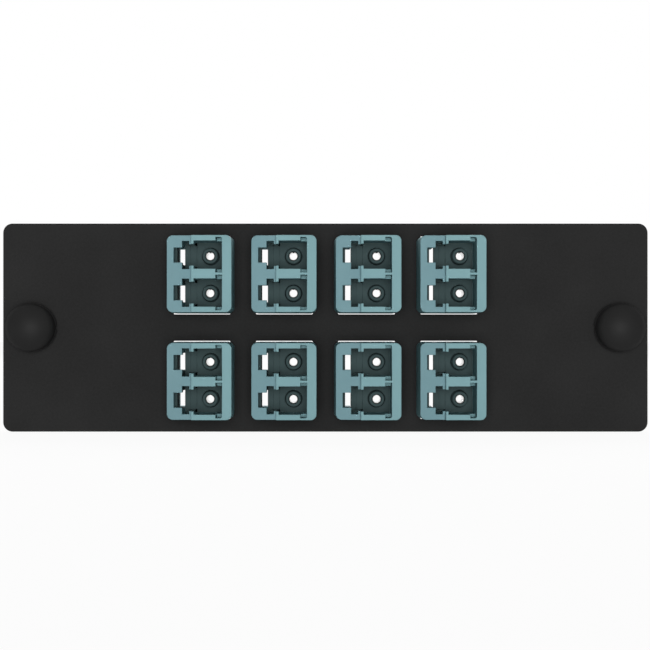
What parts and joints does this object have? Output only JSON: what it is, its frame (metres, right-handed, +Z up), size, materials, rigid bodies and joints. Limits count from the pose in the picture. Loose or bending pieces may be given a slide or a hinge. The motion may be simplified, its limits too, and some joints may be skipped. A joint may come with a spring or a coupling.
{
  "type": "fibre adapter panel",
  "caption": "Black fibre adapter panel with aqua duplex adapters in two rows and a black push-pull latch knob at each end.",
  "frame": {"origin": "centre of the panel, on the plane where the two halves of every adapter meet", "axes": "+X to the right seen from the front, +Z up, -Y out of the front"},
  "size_m": [0.1096, 0.028, 0.0354],
  "materials": {
    "panel_black": "matte",
    "adapter_aqua": "satin",
    "sleeve_ceramic": "satin",
    "clip_steel": "satin",
    "latch_black": "satin"
  },
  "bodies": {
    "panel": {"panel_plate": "panel_black", "adapter_1_front_housing": "adapter_aqua", "adapter_1_rear_housing": "adapter_aqua", "adapter_1_spring_clip": "clip_steel", "adapter_1_upper_sleeve": "sleeve_ceramic", "adapter_1_lower_sleeve": "sleeve_ceramic", "adapter_2_front_housing": "adapter_aqua", "adapter_2_rear_housing": "adapter_aqua", "adapter_2_spring_clip": "clip_steel", "adapter_2_upper_sleeve": "sleeve_ceramic", "adapter_2_lower_sleeve": "sleeve_ceramic", "adapter_3_front_housing": "adapter_aqua", "adapter_3_rear_housing": "adapter_aqua", "adapter_3_spring_clip": "clip_steel", "adapter_3_upper_sleeve": "sleeve_ceramic", "adapter_3_lower_sleeve": "sleeve_ceramic", "adapter_4_front_housing": "adapter_aqua", "adapter_4_rear_housing": "adapter_aqua", "adapter_4_spring_clip": "clip_steel", "adapter_4_upper_sleeve": "sleeve_ceramic", "adapter_4_lower_sleeve": "sleeve_ceramic", "adapter_5_front_housing": "adapter_aqua", "adapter_5_rear_housing": "adapter_aqua", "adapter_5_spring_clip": "clip_steel", "adapter_5_upper_sleeve": "sleeve_ceramic", "adapter_5_lower_sleeve": "sleeve_ceramic", "adapter_6_front_housing": "adapter_aqua", "adapter_6_rear_housing": "adapter_aqua", "adapter_6_spring_clip": "clip_steel", "adapter_6_upper_sleeve": "sleeve_ceramic", "adapter_6_lower_sleeve": "sleeve_ceramic", "adapter_7_front_housing": "adapter_aqua", "adapter_7_rear_housing": "adapter_aqua", "adapter_7_spring_clip": "clip_steel", "adapter_7_upper_sleeve": "sleeve_ceramic", "adapter_7_lower_sleeve": "sleeve_ceramic", "adapter_8_front_housing": "adapter_aqua", "adapter_8_rear_housing": "adapter_aqua", "adapter_8_spring_clip": "clip_steel", "adapter_8_upper_sleeve": "sleeve_ceramic", "adapter_8_lower_sleeve": "sleeve_ceramic", "left_latch_grommet": "latch_black", "right_latch_grommet": "latch_black"},
    "left_plunger": {"left_latch_plunger": "latch_black"},
    "right_plunger": {"right_latch_plunger": "latch_black"}
  },
  "joints": [
    {"name": "left_plunger_slide", "type": "slide", "parent": "panel", "child": "left_plunger", "axis": [0, -1, 0], "range_m": [0, 0.0045]},
    {"name": "right_plunger_slide", "type": "slide", "parent": "panel", "child": "right_plunger", "axis": [0, -1, 0], "range_m": [0, 0.0045]}
  ]
}
